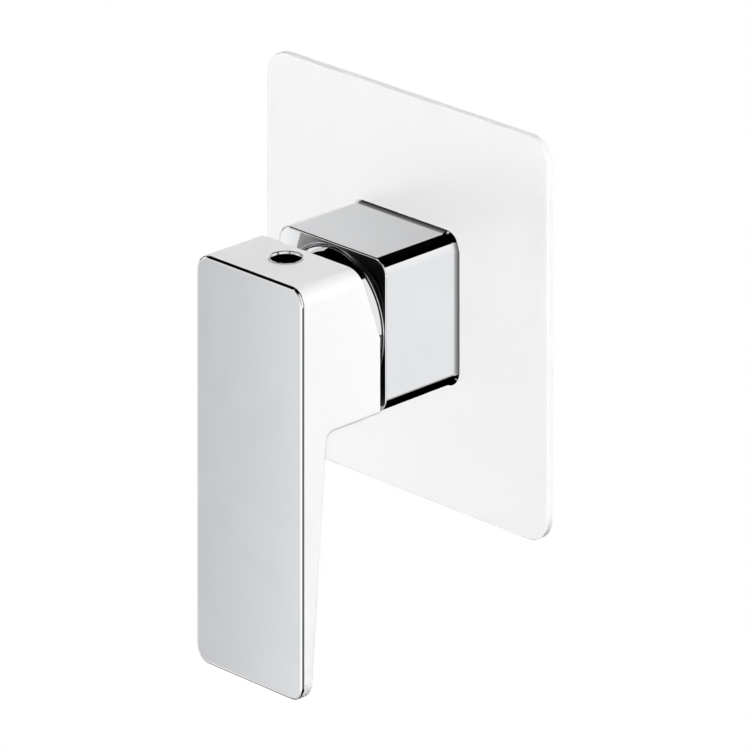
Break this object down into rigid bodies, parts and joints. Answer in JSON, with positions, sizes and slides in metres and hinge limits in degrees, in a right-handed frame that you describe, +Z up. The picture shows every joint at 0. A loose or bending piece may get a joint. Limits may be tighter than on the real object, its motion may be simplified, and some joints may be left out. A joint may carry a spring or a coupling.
{
  "type": "concealed shower mixer",
  "caption": "Concealed single-lever shower mixer: square wall plate and sleeve, lever that turns and lifts on a ceramic cartridge, and a brass body set in the wall.",
  "frame": {"origin": "mixer's axis where it meets the wall plane, on the back face of the cover plate", "axes": "+Z up, +Y into the wall along the mixer's axis, +X to the user's right"},
  "size_m": [0.12, 0.1175, 0.1585],
  "materials": {
    "white_lacquer": "smooth gloss white lacquer",
    "chrome": "mirror chrome plate",
    "brass": "cast brass, machined on the neck and bosses",
    "steel": "plain turned steel",
    "grey_plastic": "moulded, matt",
    "white_plastic": "moulded, matt",
    "red_plastic": "moulded, matt",
    "ceramic": "lapped ceramic",
    "seal_rubber": "black seal rubber",
    "foam": "closed-cell foam"
  },
  "bodies": {
    "fixed": {"wall_plate": "white_lacquer", "plate_gasket": "foam", "square_sleeve": "chrome", "sleeve_guide": "grey_plastic", "sleeve_seal": "seal_rubber", "dome_cap": "chrome", "retaining_nut": "brass", "stop_ring": "red_plastic", "cartridge_housing": "grey_plastic", "housing_seal": "seal_rubber", "cartridge_base": "grey_plastic", "base_seals": "seal_rubber", "fixed_disc": "ceramic", "valve_body": "brass", "fixing_plate": "steel"},
    "rotor": {"cartridge_rotor": "white_plastic", "pivot_pin": "steel"},
    "lever": {"spindle": "brass", "lever_body": "white_lacquer", "lever_face": "chrome", "hole_bush": "chrome", "grub_screw": "steel"},
    "disc": {"moving_disc": "ceramic", "disc_carrier": "white_plastic"}
  },
  "joints": [
    {"name": "lever_turn", "type": "hinge", "parent": "fixed", "child": "rotor", "pos_m": [0, -0.0246, 0], "axis": [0, 1, 0], "range_deg": [-45, 45]},
    {"name": "lever_tilt", "type": "hinge", "parent": "rotor", "child": "lever", "pos_m": [0, -0.0246, 0], "axis": [-1, 0, 0], "range_deg": [0, 18]},
    {"name": "disc_slide", "type": "slide", "parent": "rotor", "child": "disc", "axis": [0, 0, -1], "range_m": [0, 0.00526]}
  ],
  "couplings": [
    {"joint": "disc_slide", "follows": "lever_tilt", "m_per_rad": 0.016722}
  ]
}
